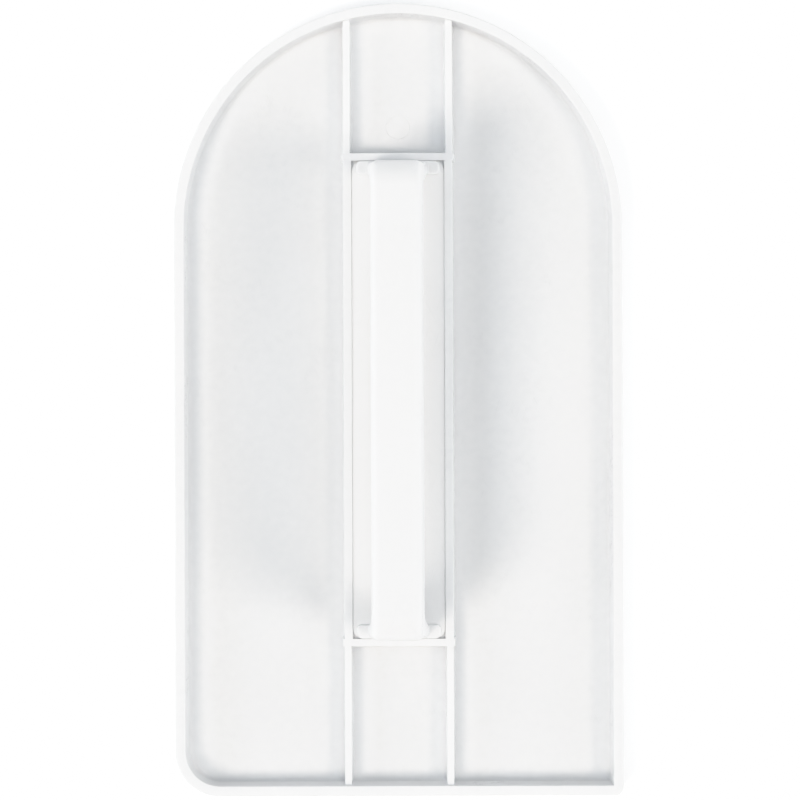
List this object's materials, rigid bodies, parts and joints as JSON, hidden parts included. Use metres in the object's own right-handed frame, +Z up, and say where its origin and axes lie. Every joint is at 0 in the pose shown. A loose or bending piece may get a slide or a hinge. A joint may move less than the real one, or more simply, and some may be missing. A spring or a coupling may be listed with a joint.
{
  "type": "fondant smoother",
  "caption": "Hand smoother for cake icing: a flat glide plate with one half-round end, a low rim and ribs, carrying a raised arched handle.",
  "frame": {"origin": "on the flat working face, at the middle of the plate's length and width", "axes": "+Z up out of the plate towards the grip, +Y along the plate and the handle towards the half-round end, +X towards the long side that ends in the square corner"},
  "size_m": [0.09, 0.159, 0.045],
  "materials": {
    "plate_plastic": "white moulded polypropylene, satin on the ribbed side and polished on the working face",
    "handle_plastic": "white moulded polypropylene, satin"
  },
  "bodies": {
    "root": {"glide_plate": "plate_plastic", "handle": "handle_plastic"}
  },
  "joints": []
}
